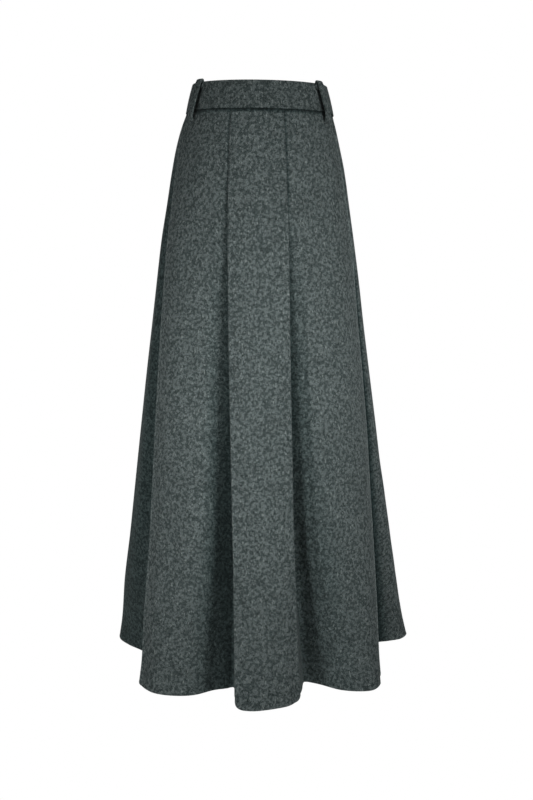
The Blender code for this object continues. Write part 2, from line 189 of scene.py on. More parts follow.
# The curves by which a pleat's edge and its bottom leave the oval, how far above its release it
# starts to fold, how far open it is when its bottom moves along, and when the hem's shape sets in
EDGE_EASE = 1.25
BOTTOM_EASE = 0.8
FOLD_LEAD = 0.004
SPREAD_START = 0.30
HEM_SHAPE_START = 0.55

# How a panel climbs out of a fold: the share of the way across and of the height gained there,
# along most of the length and at the hem
Climb = namedtuple("Climb", "across up hem_across hem_up")
WIDE_CLIMB = (
    Climb(0.13, 0.36, 0.27, 0.23),
    Climb(0.29, 0.72, 0.50, 0.62),
    Climb(0.56, 0.94, 0.76, 0.88),
)
STEEP_CLIMB = (
    Climb(0.06, 0.50, 0.27, 0.23),
    Climb(0.16, 0.86, 0.50, 0.62),
    Climb(0.46, 0.98, 0.76, 0.88),
)
SIDE_CLIMB = (
    Climb(0.14, 0.46, 0.38, 0.14),
    Climb(0.34, 0.84, 0.68, 0.62),
    Climb(0.64, 0.97, 0.86, 0.92),
)
TONGUE_CLIMB = (
    Climb(0.14, 0.46, 0.68, 0.10),
    Climb(0.34, 0.84, 0.76, 0.44),
    Climb(0.64, 0.97, 0.84, 0.80),
)

# Each panel: how far across it stands highest, the share of the oval it reaches at the hem,
# and how it climbs
Panel = namedtuple("Panel", "name crest reach climb", defaults=(None,))
BACK_LEFT = Panel("back left", 0.66, 1.020, STEEP_CLIMB)
FRONT_LEFT = Panel("front left", 0.74, 1.030, WIDE_CLIMB)
FRONT_RIGHT = Panel("front right", 0.66, 1.030, STEEP_CLIMB)
BACK_RIGHT = Panel("back right", 0.66, 1.020, STEEP_CLIMB)
CENTRE_FRONT = Panel("centre front", 0.28, 1.035)
CENTRE_BACK = Panel("centre back", 0.0, 1.020)

# How the panels run down to their edges: the share of the way across and of the height there
Way = namedtuple("Way", "across up")
PANEL_FALL = Way(0.55, 0.35)
CENTRE_FRONT_START = Way(0.45, 0.60)
CENTRE_FRONT_FALL = (Way(0.36, 0.20), Way(0.70, 0.48))
CENTRE_BACK_FALL = (Way(0.36, 0.12), Way(0.66, 0.42))

# Each side seam: its degrees at waist, mid length and hem, its reach, how the cloth in front of
# it climbs, and the painted shade behind the fold in front of it: how dark, and between which shares of
# the way to the seam it fades
SideSeam = namedtuple("SideSeam", "name waist mid hem reach climb shade fade_start fade_end")
SEAM_LEFT = SideSeam("left", -92.0, -91.0, -96.0, 0.985, SIDE_CLIMB, 0.52, 0.80, 1.30)
SEAM_RIGHT = SideSeam("right", 91.0, 92.0, 97.0, 1.020, TONGUE_CLIMB, 0.14, 0.08, 0.60)

# The section of a fold, from the panel that ends in its edge to the panel beneath: the place
# along the oval and the height over it, where the pleat is stitched shut and where it is open
Step = namedtuple("Step", "name shut_along shut_up open_along open_up")
FOLD_STEPS = (
    Step("panel", -0.0090, 0.0000, -0.0090, 0.0000),
    Step("shoulder", -0.0030, 0.0000, -0.0026, -0.0001),
    Step("round", -0.0012, -0.0003, -0.0006, -0.0010),
    Step("tip", -0.0004, -0.0010, 0.0000, -0.0026),
    Step("return", 0.0000, -0.0013, -0.0016, -0.0044),
)

# Under a fold's edge: how far out its bottom lies while stitched; how far on the cloth rises from
# the bottom, stitched and open; and the share of the depth that is left there
SHUT_TUCK = 0.0008
RISE_ALONG = (0.0022, 0.0075)
RISE_SHARE = 0.93

# Soft creases and swells laid on the cloth: where the line starts and ends in degrees and drop,
# how wide it is, and how far it stands out, or in where less than zero
Crease = namedtuple("Crease", "name azimuth_high drop_high azimuth_low drop_low width height")
CREASES = (
    Crease("right hip roll", 80.0, 0.060, 71.0, 0.240, 0.0080, 0.0022),
    Crease("right side ridge", 84.0, 0.560, 92.0, 0.780, 0.0100, 0.0028),
    Crease("right side trough", 78.0, 0.520, 84.0, 0.840, 0.0110, -0.0022),
    Crease("centre swell", -4.0, 0.260, 0.0, 0.700, 0.0240, 0.0020),
    Crease("centre dip right", 10.0, 0.330, 9.0, 0.620, 0.0130, -0.0010),
    Crease("centre low dip", -3.0, 0.640, 3.0, 0.860, 0.0200, -0.0014),
    Crease("left panel long dip", -40.0, 0.120, -30.0, 0.470, 0.0190, -0.0020),
    Crease("left panel swell", -52.0, 0.200, -40.0, 0.560, 0.0220, 0.0018),
    Crease("left panel low crease", -29.0, 0.600, -26.0, 0.860, 0.0120, 0.0016),
    Crease("left panel low dip", -36.0, 0.560, -34.0, 0.870, 0.0150, -0.0016),
    Crease("right panel long dip", 38.0, 0.170, 33.0, 0.520, 0.0180, -0.0018),
    Crease("right panel swell", 50.0, 0.150, 44.0, 0.520, 0.0200, 0.0016),
    Crease("right panel low dip", 40.0, 0.640, 37.0, 0.880, 0.0150, -0.0020),
    Crease("left side dip", -84.0, 0.260, -80.0, 0.620, 0.0140, -0.0016),
    Crease("back left dip", -140.0, 0.150, -146.0, 0.560, 0.0190, -0.0020),
    Crease("back left swell", -130.0, 0.230, -139.0, 0.640, 0.0210, 0.0018),
    Crease("back left low", -148.0, 0.620, -150.0, 0.870, 0.0130, -0.0015),
    Crease("back right dip", 138.0, 0.180, 145.0, 0.520, 0.0180, -0.0018),
    Crease("back right swell", 127.0, 0.200, 136.0, 0.660, 0.0230, 0.0017),
    Crease("back right low", 146.0, 0.590, 149.0, 0.860, 0.0120, 0.0015),
    Crease("seat swell", 172.0, 0.130, 174.0, 0.420, 0.0230, 0.0014),
    Crease("left side low", -101.0, 0.520, -104.0, 0.850, 0.0130, 0.0018),
    Crease("right back low", 104.0, 0.560, 108.0, 0.860, 0.0120, -0.0017),
)

# A crease fades at its ends over this share of its length, and spreads over this many widths
CREASE_FADE = 0.25
CREASE_SPREAD = 3.0

# A belt loop from its turned-in top end to its foot: how far its middle line stands off the
# cloth beneath, and the height
Bend = namedtuple("Bend", "name offset z")
LOOP_BENDS = (
    Bend("turned end", 0.0021, 0.0130),
    Bend("under the top", 0.0021, 0.0212),
    Bend("over the top", 0.0047, 0.0252),
    Bend("shoulder", 0.0074, 0.0212),
    Bend("face", 0.0078, 0.0010),
    Bend("low face", 0.0078, -0.0190),
    Bend("bend in", 0.0062, -0.0284),
    Bend("foot", 0.0027, -0.0330),
    Bend("foot end", 0.0022, -0.0366),
)

# Where each belt loop stands at its top and at its foot, in degrees from centre front
Loop = namedtuple("Loop", "place high low")
LOOPS = (
    Loop("front_left", -56.0, -59.0),
    Loop("front_right", 56.0, 59.0),
    Loop("back_left", -128.0, -128.0),
    Loop("back_right", 128.0, 128.0),
)

# The fold of one pleat at one drop
Fold = namedtuple("Fold", "edge bottom floor opened pleat press")

# The waistband: its wall, the round of its pressed edges, the steps of its face and of each
# round, how far its face stands out at the edges and more at the middle, and the share of brightness
# that painted shade leaves at its lower edge, with the height over which that returns
BAND_WALL = 0.0042
BAND_RIM = 0.0013
BAND_STEPS = 14
RIM_STEPS = 6
CROWN_STEPS = 5
BAND_FULLNESS = (0.0002, 0.0007)
BAND_SHADE = (0.14, 0.0016)

# The band's ends meet just short of centre back, in degrees, and taper in: the degrees from the
# end and the share of the wall there, and where the even columns start
BAND_END = 179.88
END_TAPER = ((0.0, 0.0), (0.35, 0.75), (0.9, 0.97))
TAPER_TURN = 1.9
BAND_COLUMNS = 180

# A belt loop's section: how square it is across and through, how much thinner at its edges, its
# sides, the shares of the wall toward its ends, and the steps from one bend to the next
LOOP_HALF_WIDTH = 0.0060
LOOP_HALF_WALL = 0.0015
LOOP_SQUARENESS = (1.25, 1.60)
LOOP_THINNING = 0.12
LOOP_SIDES = 20
LOOP_ENDS = (0.0, 0.7, 0.95)
BEND_STEPS = 5

# The stitches: how far apart, half as long and how thick they are, where the rows start and how
# far they stand beside the edge, the tack at the release, and how far a stitch stands out
STITCH_PITCH = 0.0034
STITCH_HALF_LENGTH = 0.0011
THREAD = 0.00055
STITCH_START = 0.005
STITCH_BESIDE = 0.0022
TACK_BESIDE = 0.0046
TACK_LENGTH = 0.020
ROW_END = 0.006
STITCH_LIFT = 0.1

# The patterns of the finishes: features for each metre, detail, where a ramp over the noise
# starts and ends, distortion, stretch, and turn in degrees
Grain = namedtuple("Grain", "name scale detail low high distortion stretch turn",
                   defaults=(0.0, 1.0, 0.0, (1.0, 1.0, 1.0), (0.0, 0.0, 0.0)))
GROUND = Grain("ground", 760.0, 2.5, 0.36, 0.56)
PATCHES = Grain("patches", 70.0, 3.0, 0.32, 0.68)
CLOUD = Grain("cloud", 14.0, 2.0)
BREAKS = Grain("breaks in the curls", 220.0, 1.0, 0.40, 0.60, turn=(15.0, 60.0, 5.0))
CURLS = (
    Grain("curls", 430.0, 1.0, 0.0, 0.098, 0.6),
    Grain("finer curls", 590.0, 1.0, 0.0, 0.094, 0.6, turn=(40.0, 25.0, 70.0)),
)
HAIRS = (
    Grain("hairs", 440.0, 0.0, 0.72, 0.82, stretch=(1.0, 1.0, 0.40), turn=(70.0, 10.0, 40.0)),
    Grain("crossing hairs", 440.0, 0.0, 0.72, 0.82, stretch=(1.0, 1.0, 0.40), turn=(-55.0, 60.0, 0.0)),
)
WEAVE = Grain("weave", 900.0, 1.0)
WEAVE_TONES = (0.8, 1.2)

# How much of the ground the fibres and hairs cover, what the patches and the cloud multiply the
# colour by, as a factor and a base, the ground's share of the relief, the strength and depth of
# the reliefs, how much cooler the painted shade makes the cloth, and how much painted shade darkens the
# band's and the loops' copies of the flannel
FIBRE_COVER = 0.75
HAIR_COVER = 0.55
PATCH_SHADE = (0.24, 0.88)
CLOUD_SHADE = (0.30, 0.84)
GROUND_RELIEF = 0.7
FLANNEL_RELIEF = (0.55, 0.0008)
WEAVE_RELIEF = (0.3, 0.0003)
SHADE_COOLING = 0.25
BAND_SHADED_COPY = 0.90
LOOP_SHADED_COPY = 0.95
FLANNEL_NAP = {
    "Roughness": 0.96,
    "Specular IOR Level": 0.12,
    "Sheen Weight": 0.10,
    "Sheen Roughness": 0.45,
    "Sheen Tint": (0.78, 0.84, 0.84),
}

# The soft lamps: place and aim, radius, cone in degrees, and share of the key light's power
Lamp = namedtuple("Lamp", "name place target radius cone share")
LAMPS = (
    Lamp("front right", (1.65, -1.95, 0.35), (0.0, -0.12, -0.38), 0.40, 32.0, 1.00),
    Lamp("front left", (-1.55, -2.05, 0.25), (0.0, -0.12, -0.52), 0.40, 32.0, 0.75),
    Lamp("back", (-0.45, 2.50, 0.45), (0.0, 0.10, -0.43), 0.45, 34.0, 0.80),
)

# The floor lies this far below the hem, out of the picture, and reaches this far to each side
FLOOR_DROP = 1.6
FLOOR_HALF = 2.0
WHITE = (1.0, 1.0, 1.0)
PALE = (0.95, 0.95, 0.95)

# The camera: its place, how far it is turned up from looking straight down, its focal length and
# the frame's height in the photo's pixels, and the height of its sensor in millimetres
CAMERA_PLACE = (0.0106, -1.800, -0.1625)
CAMERA_TURN = 80.0
FOCAL_PIXELS = 1104.0
FRAME_HEIGHT = 800.0
SENSOR = 36.0


def blend(low, high, share):
    return low + (high - low) * share


def smoothstep(value, low, high):
    share = min(max((value - low) / (high - low), 0.0), 1.0)
    return share * share * (3.0 - 2.0 * share)


def seam_rise(azimuth, drop=0.0):
    """How far the cloth rises over the level across the front, at a drop below the band seam."""
    fade = max(1.0 - drop / SEAM_RISE_FADE, 0.0)
    return SEAM_RISE * smoothstep(2.0 * cos(radians(azimuth)), 0.0, 1.0) * fade


def leaned(point):
    """The waist hangs a little lower on the right, and less so down the hips."""
    x, y, z = point
    fade = min(max(1.0 + z / LEAN_FADE, 0.0), 1.0)
    return x, y, z - LEAN * x * fade


def three_point(waist, mid, hem, drop):
    """A value at one drop, on the parabola through its three given values."""
    share = drop / SKIRT_LENGTH
    at_waist = 2.0 * (share - 0.5) * (share - 1.0)
    at_mid = 4.0 * share * (1.0 - share)
    at_hem = 2.0 * share * (share - 0.5)
    return waist * at_waist + mid * at_mid + hem * at_hem


def on_oval(azimuth, half_width, half_depth, reach=1.0):
    angle = radians(azimuth)
    return Vector((half_width * sin(angle) * reach, -half_depth * cos(angle) * reach))


def beside_oval(azimuth, half_width, half_depth, offset):
    """A point at an offset out from an oval, the direction along the oval, and outward."""
    point = on_oval(azimuth, half_width, half_depth)
    outward = Vector((point.x / half_width ** 2, point.y / half_depth ** 2)).normalized()
    return point + outward * offset, Vector((-outward.y, outward.x)), outward


def band_oval(z):
    """Half width and half depth of the waistband's outer face."""
    low, high = BAND_EDGES
    share = (z - low.z) / (high.z - low.z)
    return blend(low.half_width, high.half_width, share), blend(low.half_depth, high.half_depth, share)


def hermite(start, end, slope_in, slope_out, share):
    """A smooth way from start to end that leaves and arrives with the given slopes."""
    square, cube = share * share, share ** 3
    return ((2 * cube - 3 * square + 1) * start + (cube - 2 * square + share) * slope_in
            + (3 * square - 2 * cube) * end + (cube - square) * slope_out)


class Oval:
    """The plain oval of the skirt at one drop, smooth between the named sections."""

    def __init__(self, drop):
        drops = [section.drop for section in SECTIONS]
        index = min(max(bisect_right(drops, drop) - 1, 0), len(SECTIONS) - 2)
        near, far = SECTIONS[index], SECTIONS[index + 1]
        before, after = SECTIONS[max(index - 1, 0)], SECTIONS[min(index + 2, len(SECTIONS) - 1)]
        span = far.drop - near.drop
        share = (drop - near.drop) / span
        values = []
        for name in ("left", "right", "front", "back"):
            slope_in = self.slope(before, near, far, name)
            slope_out = self.slope(near, far, after, name)
            start, end = getattr(near, name), getattr(far, name)
            values.append(hermite(start, end, slope_in * span, slope_out * span, share))
        self.left, self.right, self.front, self.back = values

    @staticmethod
    def slope(before, here, after, name):
        return (getattr(after, name) - getattr(before, name)) / max(after.drop - before.drop, TINY)

    def axes(self, azimuth):
        half_width = self.left if azimuth < 0.0 else self.right
        return half_width, (self.front if abs(azimuth) < 90.0 else self.back)

    def point(self, azimuth, reach=1.0):
        return on_oval(azimuth, *self.axes(azimuth), reach)

    def azimuth(self, point):
        """The degrees from centre front that put a point of this oval in the point's direction."""
        half_width = self.left if point.x < 0.0 else self.right
        half_depth = self.front if point.y < 0.0 else self.back
        return degrees(atan2(point.x / half_width, -point.y / half_depth))


def edge_at(pleat, drop):
    return three_point(pleat.waist, pleat.mid, pleat.hem, drop)


def fold_at(pleat, press, drop):
    """One pleat at one drop: where its edge and its bottom are, and how far it is open."""
    share = max(0.0, (drop - pleat.release) / (SKIRT_LENGTH - pleat.release))
    opened = share ** EDGE_EASE
    edge_azimuth = edge_at(pleat, drop)
    fall = blend(pleat.fall_waist, pleat.fall_hem, drop / SKIRT_LENGTH)
    floor = blend(1.0, pleat.bottom, share ** BOTTOM_EASE)
    edge = (edge_azimuth, blend(1.0, pleat.edge, opened))
    return Fold(edge, (edge_azimuth + fall, floor), floor, opened, pleat, press)


def toward_bottom(pleat):
    """1 where the fold opens toward larger degrees, and -1 where it opens toward smaller ones."""
    return 1.0 if pleat.fall_waist > 0.0 else -1.0


def fold_points(fold, drop, oval, settings):
    """Points across one fold, from the panel that ends in its edge to the panel beneath."""
    pleat = fold.pleat
    toward = toward_bottom(pleat)
    azimuth, reach = fold.edge
    tip = oval.point(azimuth, reach)
    _, along, outward = beside_oval(azimuth, *oval.axes(azimuth), 0.0)
    along = along * toward
    folded = smoothstep(drop, pleat.release - FOLD_LEAD, pleat.release + settings.fold_start)
    points = []
    for step in FOLD_STEPS:
        place = blend(step.shut_along, step.open_along, folded)
        height = blend(step.shut_up, step.open_up, folded) - place * fold.press.turn * fold.opened
        points.append(tip + along * place + outward * height)
    to_floor = oval.point(*fold.bottom) - tip
    depth = max(-to_floor.dot(outward), blend(settings.stitch_dent, settings.fold_lap, folded))
    tucked = blend(SHUT_TUCK, -settings.tuck, folded)
    place = blend(tucked, to_floor.dot(along), smoothstep(fold.opened, SPREAD_START, 1.0))
    bottom = tip + along * place - outward * depth
    middle = points[-1].lerp(bottom, 0.5)
    rise = tip + along * (place + blend(*RISE_ALONG, folded)) - outward * (depth * RISE_SHARE * folded)
    return points + [middle, bottom, rise]


def climbed(climb, opened):
    """How far across and up a panel has climbed; the hem's shape fades out toward the knee."""
    share = smoothstep(opened, HEM_SHAPE_START, 1.0)
    return blend(climb.across, climb.hem_across, share), blend(climb.up, climb.hem_up, share)


def part_way(oval, start, end, way):
    """A point part of the way from one place to another, each its degrees and its reach."""
    return oval.point(blend(start[0], end[0], way.across), blend(start[1], end[1], way.up))


def climbing_panel(panel, start, end, oval):
    """Points of a panel that climbs out of one fold and ends in the edge of the next."""
    crest = blend(start.bottom[0], end.edge[0], panel.crest)
    reach = blend(1.0, panel.reach, start.opened)
    points = []
    for climb in panel.climb:
        across, up = climbed(climb, start.opened)
        points.append(oval.point(blend(start.bottom[0], crest, across), blend(start.floor, reach, up)))
    return points + [oval.point(crest, reach), part_way(oval, (crest, reach), end.edge, PANEL_FALL)]


def side_panel(seam, first, last, oval, drop):
    """Points of a side panel, from the fold before it to the fold after, and its seam's place."""
    azimuth = three_point(seam.waist, seam.mid, seam.hem, drop)
    reach = blend(1.0, seam.reach, first.opened)
    halves = []
    for fold in (first, last):
        half = []
        for climb in seam.climb if abs(fold.edge[0]) < 90.0 else SIDE_CLIMB:
            across, up = climbed(climb, fold.opened)
            half.append(oval.point(blend(fold.bottom[0], azimuth, across), blend(fold.floor, reach, up)))
        halves.append(half)
    return halves[0] + [oval.point(azimuth, reach)] + halves[1][::-1], len(halves[0])


def centre_front(first, last, oval):
    """Points of the raised centre panel, between the edges of its two pleats."""
    azimuth = blend(first.edge[0], last.edge[0], CENTRE_FRONT.crest)
    crest = (azimuth, blend(1.0, CENTRE_FRONT.reach, first.opened))
    fall = [part_way(oval, crest, last.edge, way) for way in CENTRE_FRONT_FALL]
    return [part_way(oval, first.edge, crest, CENTRE_FRONT_START), oval.point(*crest)] + fall


def centre_back(side, fold, oval):
    """Points of one half of the centre back panel, from the seam to its pleat's edge."""
    crest = (180.0 * side, blend(1.0, CENTRE_BACK.reach, fold.opened))
    return [oval.point(*crest)] + [part_way(oval, crest, fold.edge, way) for way in CENTRE_BACK_FALL]


def ring_controls(drop, settings):
    """Control points round the skirt from centre back, and which of them are seams."""
    oval = Oval(drop)
    folds = [fold_at(pleat, press, drop) for pleat, press in zip(PLEATS, PRESSES)]
    down = [fold_points(fold, drop, oval, settings) for fold in folds]
    up = [points[::-1] for points in down]
    ring = centre_back(-1, folds[0], oval) + down[0]
    ring += climbing_panel(BACK_LEFT, folds[0], folds[1], oval) + down[1]
    side, at = side_panel(SEAM_LEFT, folds[1], folds[2], oval, drop)
    left_seam = len(ring) + at
    ring += side + up[2]
    ring += climbing_panel(FRONT_LEFT, folds[3], folds[2], oval)[::-1] + up[3]
    ring += centre_front(folds[3], folds[4], oval) + down[4]
    ring += climbing_panel(FRONT_RIGHT, folds[4], folds[5], oval) + down[5]
    side, at = side_panel(SEAM_RIGHT, folds[5], folds[6], oval, drop)
    right_seam = len(ring) + at
    ring += side + up[6]
    ring += climbing_panel(BACK_RIGHT, folds[7], folds[6], oval)[::-1] + up[7]
    ring += centre_back(1, folds[7], oval)[::-1]
    return ring, (0, left_seam, right_seam, len(ring) - 1)


def curve_through(points, counts):
    """A smooth closed curve through points whose last is their first, with counts in each span."""
    total = len(points) - 1
    knots = [max((points[i + 1] - points[i]).length, TINY) ** 0.5 for i in range(total)]
    curve = []
    for index in range(total):
        before, here = points[(index - 1) % total], points[index]
        there, after = points[index + 1], points[(index + 2) % total]
        t1 = knots[(index - 1) % total]
        t2 = t1 + knots[index]
        t3 = t2 + knots[(index + 1) % total]
        for step in range(counts[index]):
            t = blend(t1, t2, step / counts[index])
            a1 = before.lerp(here, t / t1)
            a2 = here.lerp(there, (t - t1) / (t2 - t1))
            a3 = there.lerp(after, (t - t2) / (t3 - t2))
            b1 = a1.lerp(a2, t / t2)
            b2 = a2.lerp(a3, (t - t1) / (t3 - t1))
            curve.append(b1.lerp(b2, (t - t1) / (t2 - t1)))
    curve.append(points[-1].copy())
    return curve


def crease_height(azimuth, drop, radius):
    """How far the soft creases move the cloth out at one place."""
    height = 0.0
    for crease in CREASES:
        share = (drop - crease.drop_high) / (crease.drop_low - crease.drop_high)
        if -CREASE_FADE < share < 1.0 + CREASE_FADE:
            line = blend(crease.azimuth_high, crease.azimuth_low, share)
            distance = abs(radians(azimuth - line) * radius / crease.width)
            if distance < CREASE_SPREAD:
                fade = smoothstep(share, -CREASE_FADE, CREASE_FADE)
                fade *= 1.0 - smoothstep(share, 1.0 - CREASE_FADE, 1.0 + CREASE_FADE)
                height += crease.height * fade * (1.0 - smoothstep(distance, 0.0, CREASE_SPREAD)) ** 2
    return height


def outward_at(curve, index):
    count = len(curve) - 1
    run = curve[(index + 1) % count] - curve[(index - 1) % count]
    return Vector((run.y, -run.x)).normalized()


def ring_at(drop, counts, settings):
    """Points and outward directions round the skirt at one drop, creases and all."""
    controls, _ = ring_controls(drop, settings)
    curve = curve_through(controls, counts)
    oval = Oval(drop)
    moved = []
    for index, point in enumerate(curve):
        height = crease_height(oval.azimuth(point), drop, point.length)
        moved.append(point + outward_at(curve, index) * height)
    return moved, [outward_at(moved, index) for index in range(len(moved))]


def light_shares(points, outwards):
    """The share of the light round the skirt that reaches each point past the cloth beside it."""
    place = numpy.array([tuple(point) for point in points[:-1]])
    facing = numpy.array([tuple(outward) for outward in outwards[:-1]])
    seen = numpy.zeros(len(place))
    for side in (-1, 1):
        horizon = numpy.zeros(len(place))
        for step in range(1, NEIGHBOURS):
            away = numpy.roll(place, -side * step, axis=0) - place
            distance = numpy.maximum(numpy.hypot(away[:, 0], away[:, 1]), TINY)
            fade = numpy.clip(LIGHT_FADE - distance / LIGHT_SPAN, 0.0, 1.0)
            height = (away * facing).sum(axis=1) / distance * fade
            horizon = numpy.maximum(horizon, height)
        seen += 0.5 * numpy.sqrt(1.0 - numpy.minimum(horizon, 1.0) ** 2)
    return [float(share) for share in seen] + [float(seen[0])]


def object_from(builder, name):
    """The piece that a finished bmesh makes, in the scene."""
    mesh = bpy.data.meshes.new(name)
    builder.to_mesh(mesh)
    builder.free()
    mesh.shade_smooth()
    piece = bpy.data.objects.new(name, mesh)
    bpy.context.collection.objects.link(piece)
    return piece


def lofted(name, stations, tones=None):
    """A closed mesh from a grid: a column for each station, whose last point meets its first."""
    builder = bmesh.new()
    columns, rows = len(stations), len(stations[0]) + 1
    bmesh.ops.create_grid(builder, x_segments=columns - 1, y_segments=rows - 1, size=1.0)
    if len(builder.verts) != columns * rows:
        raise RuntimeError("the grid of %s has %d points" % (name, len(builder.verts)))
    # The tone attribute holds painted shade in the folds and under the band, painted highlights on the
    # folds' edges, and darker seam and stitched lines
    tone = builder.verts.layers.float.new("tone")
    for vertex in builder.verts:
        column = round((vertex.co.x + 1.0) * 0.5 * (columns - 1))
        row = round((vertex.co.y + 1.0) * 0.5 * (rows - 1)) % (rows - 1)
        vertex.co = leaned(stations[column][row])
        vertex[tone] = tones[column][row] if tones else 1.0
    bmesh.ops.remove_doubles(builder, verts=builder.verts, dist=MERGE)
    bmesh.ops.recalc_face_normals(builder, faces=builder.faces)
    return object_from(builder, name)


def skirt_rings(settings):
    """All rings of the skirt from band to hem, and the seams' places along them."""
    controls, seams = ring_controls(SKIRT_LENGTH, settings)
    short_span = 0.0015
    counts = []
    for here, there in zip(controls, controls[1:]):
        length = (there - here).length
        counts.append(max(2 if length > short_span else 1, round(length / settings.column_width)))
    rings = []
    for step in range(settings.rows + 1):
        drop = SKIRT_LENGTH * step / settings.rows
        points, outwards = ring_at(drop, counts, settings)
        rings.append((drop, Oval(drop), points, outwards, light_shares(points, outwards)))
    return rings, [sum(counts[:seam]) for seam in seams]


def seam_thickness(distance, settings):
    """Share of the full wall at a distance from a seam, where the cloth's edge turns in."""
    share = min(distance / settings.seam_roll, 1.0)
    return (1.0 - (1.0 - share) ** 2) ** 0.5


def piece_columns(start, end):
    """Places along the rings for one piece, with extra ones close to its two seams."""
    near = (0.0, 0.06, 0.16, 0.34, 0.62)
    columns = [start + step for step in near]
    columns += [float(index) for index in range(start + 1, end)]
    return columns + [end - step for step in near[::-1]]


def between(values, place):
    index = min(int(place), len(values) - 2)
    return blend(values[index], values[index + 1], place - index)


def near_pleats(point, drop, oval, light):
    """At one place on the cloth: its lift by the rounded corners of the hem, and its tone by the
    stitched lines, the painted highlights on the folds' edges and the painted shade in the folds."""
    azimuth = oval.azimuth(point)
    near_hem = min(max(1.0 - (SKIRT_LENGTH - drop) / CORNER_HEIGHT, 0.0), 1.0) ** 2
    low = smoothstep(drop, *LOW_SHADE)
    lift, tone, nearest, shade = 0.0, 1.0, 360.0, 1.0
    for pleat, press in zip(PLEATS, PRESSES):
        turn = azimuth - edge_at(pleat, drop)
        # Painted shade in the wide hollow beside the fold
        if turn * pleat.fall_hem > 0.0:
            tone -= press.veil * low * (1.0 - smoothstep(abs(turn), HOLLOW_SHADE_FADE * HOLLOW_SHADE_TURN, HOLLOW_SHADE_TURN))
        turn = abs(turn)
        away = radians(turn) * point.length
        if turn < nearest:
            nearest, shade = turn, blend(press.shade, press.low_shade, low)
        if near_hem > 0.0 and away < press.corner:
            lift += (press.corner - (away * (2.0 * press.corner - away)) ** 0.5) * near_hem
        if away < press.rim_width:
            shut = 1.0 - smoothstep(drop, pleat.release - LINE_END[0], pleat.release + LINE_END[1])
            tone -= press.line * shut * max(1.0 - away / LINE_REACH, 0.0)
            # Painted highlight along the open fold's edge
            tone += press.rim * (1.0 - shut) * (1.0 - away / press.rim_width)
    # Painted shade in the folds: the less light reaches past the cloth beside, the darker the colour
    tone *= blend(shade, 1.0, light ** LIGHT_EASE)
    # Painted shade on the side panels behind the front's side folds
    seam, pleat = (SEAM_LEFT, SIDE_PLEATS[0]) if azimuth < 0.0 else (SEAM_RIGHT, SIDE_PLEATS[1])
    edge = edge_at(pleat, drop)
    past = (azimuth - edge) / (three_point(seam.waist, seam.mid, seam.hem, drop) - edge)
    if 0.0 < past < BEHIND_REACH:
        near = oval.point(edge, blend(1.0, pleat.edge, drop / SKIRT_LENGTH)).x
        far = oval.point(90.0 if near > 0.0 else -90.0).x
        share = past if past > 1.0 else (point.x - near) / (far - near)
        behind = blend(seam.shade, 1.0, smoothstep(share, seam.fade_start, seam.fade_end))
        tone *= blend(1.0, behind, smoothstep(drop, *SIDE_SHADE))
    return lift, tone


def skirt_station(place, start, end, rings, settings):
    """The closed section of the cloth at one place round the skirt, and its tones."""
    outside, inside, tones = [], [], []
    for drop, oval, points, outwards, light in rings:
        point, outward = between(points, place), between(outwards, place).normalized()
        first = (point - points[start]).length
        last = (point - points[end]).length
        share = seam_thickness(min(first, last), settings)
        if min(first, last) < TINY:
            neighbour = points[start + 1] if first < last else points[end - 1]
            point = point - (neighbour - point).normalized() * SEAM_LAP
        wall = settings.cloth_wall
        if drop > SKIRT_LENGTH - settings.turn_up:
            wall = settings.hem_wall
        middle = point - outward * 0.5 * settings.cloth_wall
        outer = point if share >= 1.0 else middle.lerp(point, share)
        inner = middle.lerp(point - outward * wall, share)
        azimuth = degrees(atan2(point.x, -point.y))
        lift, tone = near_pleats(point, drop, oval, between(light, place))
        z = SKIRT_TOP - drop + seam_rise(azimuth, drop) + lift
        outside.append((outer, z))
        inside.append((inner, z))
        tone *= blend(settings.seam_tone, 1.0, smoothstep(min(first, last), 0.0, SEAM_LINE))
        # Painted shadow under the waistband's lower edge
        tone *= blend(settings.under_band_shadow, 1.0, smoothstep(drop, *UNDER_BAND_SHADOW_DROPS))
        tones.append(tone)
    station = [Vector((*outer, z)) for outer, z in outside[:-1]]
    outer, z = outside[-1]
    inner = inside[-1][0]
    for turn in range(settings.hem_steps + 1):
        angle = pi * turn / settings.hem_steps
        across = 0.5 - 0.5 * cos(angle)
        lift = settings.hem_round * (1.0 - sin(angle)) * share
        station.append(Vector((*outer.lerp(inner, across), z + lift)))
    station += [Vector((*inner, z)) for inner, z in inside[-2::-1]]
    return station, tones + [tones[-1]] * settings.hem_steps + tones[-2::-1]


